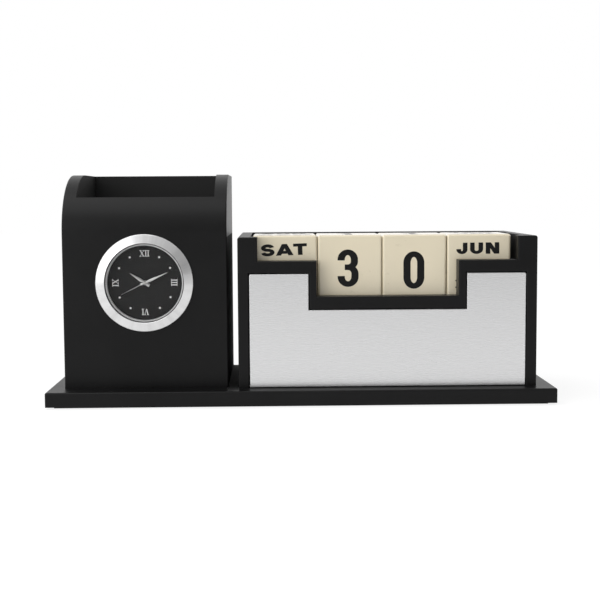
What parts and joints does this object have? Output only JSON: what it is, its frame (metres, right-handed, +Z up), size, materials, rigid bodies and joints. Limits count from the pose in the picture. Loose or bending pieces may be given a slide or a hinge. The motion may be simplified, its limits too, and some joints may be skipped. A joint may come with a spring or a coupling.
{
  "type": "desk calendar with drawer",
  "caption": "Black desk organiser: pen box with a curved front and a round quartz clock, beside an open tray of perpetual calendar cubes over a silver-fronted drawer.",
  "frame": {"origin": "middle of the footprint, on the underside of the felt", "axes": "+X along the base towards the calendar box, +Y from the front to the rear, +Z up"},
  "size_m": [0.2598, 0.097, 0.1185],
  "materials": {
    "board": "black satin laminate over fibreboard",
    "felt": "short black felt",
    "screw": "zinc plated",
    "face_plate": "fine satin, clear anodised",
    "cube": "ivory, lightly polished",
    "bezel": "pearl chrome",
    "lens": "clear mineral glass",
    "grip": "plain",
    "dial": "matt black",
    "dial_ring": "satin",
    "hands": "white enamel",
    "shell": "black, moulded",
    "inner_plastic": "grey, moulded",
    "gears": "natural acetal",
    "steel": "plain",
    "winding": "enamelled copper wire",
    "circuit": "green solder mask"
  },
  "bodies": {
    "stand": {"base_board": "board", "base_felt": "felt", "base_screws": "screw", "pen_left_side": "board", "pen_right_side": "board", "pen_front_board": "board", "pen_back_board": "board", "calendar_left_side": "board", "calendar_right_side": "board", "calendar_back": "board", "calendar_fascia": "board", "cube_tray_floor": "board", "cube_stop_rail": "board"},
    "drawer": {"drawer_face_plate": "face_plate", "drawer_front_board": "board", "drawer_left_side": "board", "drawer_right_side": "board", "drawer_back": "board", "drawer_bottom": "board"},
    "weekday": {"weekday_cube": "cube"},
    "tens": {"tens_cube": "cube"},
    "units": {"units_cube": "cube"},
    "month": {"month_cube": "cube"},
    "clock": {"clock_bezel": "bezel", "clock_lens": "lens", "clock_case": "shell", "friction_ring": "grip", "dial_ring": "dial_ring", "clock_dial": "dial", "movement_plate": "inner_plastic", "train_bridge": "inner_plastic", "stator": "steel", "coil_core": "steel", "motor_coil": "winding", "circuit_board": "circuit", "battery_contact": "steel"},
    "hatch": {"battery_hatch": "shell", "battery": "steel"},
    "seconds": {"second_wheel": "gears", "second_hand": "hands"},
    "third": {"third_wheel": "gears"},
    "minutes": {"centre_wheel": "gears", "minute_hand": "hands"},
    "setting": {"minute_wheel": "gears", "setting_knob": "gears"},
    "hours": {"hour_wheel": "gears", "hour_hand": "hands"},
    "middle": {"middle_wheel": "gears"},
    "rotor": {"rotor": "gears"}
  },
  "joints": [
    {"name": "drawer_slide", "type": "slide", "parent": "stand", "child": "drawer", "axis": [0, -1, 0], "range_m": [0, 0.055]},
    {"name": "weekday_lift", "type": "slide", "parent": "stand", "child": "weekday", "axis": [0, 0, 1], "range_m": [0, 0.045]},
    {"name": "tens_lift", "type": "slide", "parent": "stand", "child": "tens", "axis": [0, 0, 1], "range_m": [0, 0.045]},
    {"name": "units_lift", "type": "slide", "parent": "stand", "child": "units", "axis": [0, 0, 1], "range_m": [0, 0.045]},
    {"name": "month_lift", "type": "slide", "parent": "stand", "child": "month", "axis": [0, 0, 1], "range_m": [0, 0.045]},
    {"name": "clock_pull", "type": "slide", "parent": "stand", "child": "clock", "axis": [0, -1, 0], "range_m": [0, 0.03]},
    {"name": "hatch_pull", "type": "slide", "parent": "clock", "child": "hatch", "axis": [0, 1, 0], "range_m": [0, 0.012]},
    {"name": "second_spin", "type": "hinge", "parent": "clock", "child": "seconds", "pos_m": [-0.08018, -0.035, 0.06275], "axis": [0, 1, 0], "continuous": true},
    {"name": "third_spin", "type": "hinge", "parent": "clock", "child": "third", "pos_m": [-0.07476, -0.035, 0.06322], "axis": [0, 1, 0], "continuous": true},
    {"name": "minute_spin", "type": "hinge", "parent": "clock", "child": "minutes", "pos_m": [-0.08018, -0.035, 0.06275], "axis": [0, 1, 0], "continuous": true},
    {"name": "setting_spin", "type": "hinge", "parent": "clock", "child": "setting", "pos_m": [-0.08582, -0.035, 0.0648], "axis": [0, 1, 0], "continuous": true},
    {"name": "hour_spin", "type": "hinge", "parent": "clock", "child": "hours", "pos_m": [-0.08018, -0.035, 0.06275], "axis": [0, 1, 0], "continuous": true},
    {"name": "middle_spin", "type": "hinge", "parent": "clock", "child": "middle", "pos_m": [-0.08159, -0.035, 0.068], "axis": [0, 1, 0], "continuous": true},
    {"name": "rotor_spin", "type": "hinge", "parent": "clock", "child": "rotor", "pos_m": [-0.08242, -0.035, 0.0711], "axis": [0, 1, 0], "continuous": true}
  ],
  "couplings": [
    {"joint": "third_spin", "follows": "second_spin", "ratio": -0.13333},
    {"joint": "minute_spin", "follows": "second_spin", "ratio": 0.016667},
    {"joint": "setting_spin", "follows": "second_spin", "ratio": -0.0055556},
    {"joint": "hour_spin", "follows": "second_spin", "ratio": 0.0013889},
    {"joint": "middle_spin", "follows": "second_spin", "ratio": -7.5},
    {"joint": "rotor_spin", "follows": "second_spin", "ratio": 30}
  ]
}
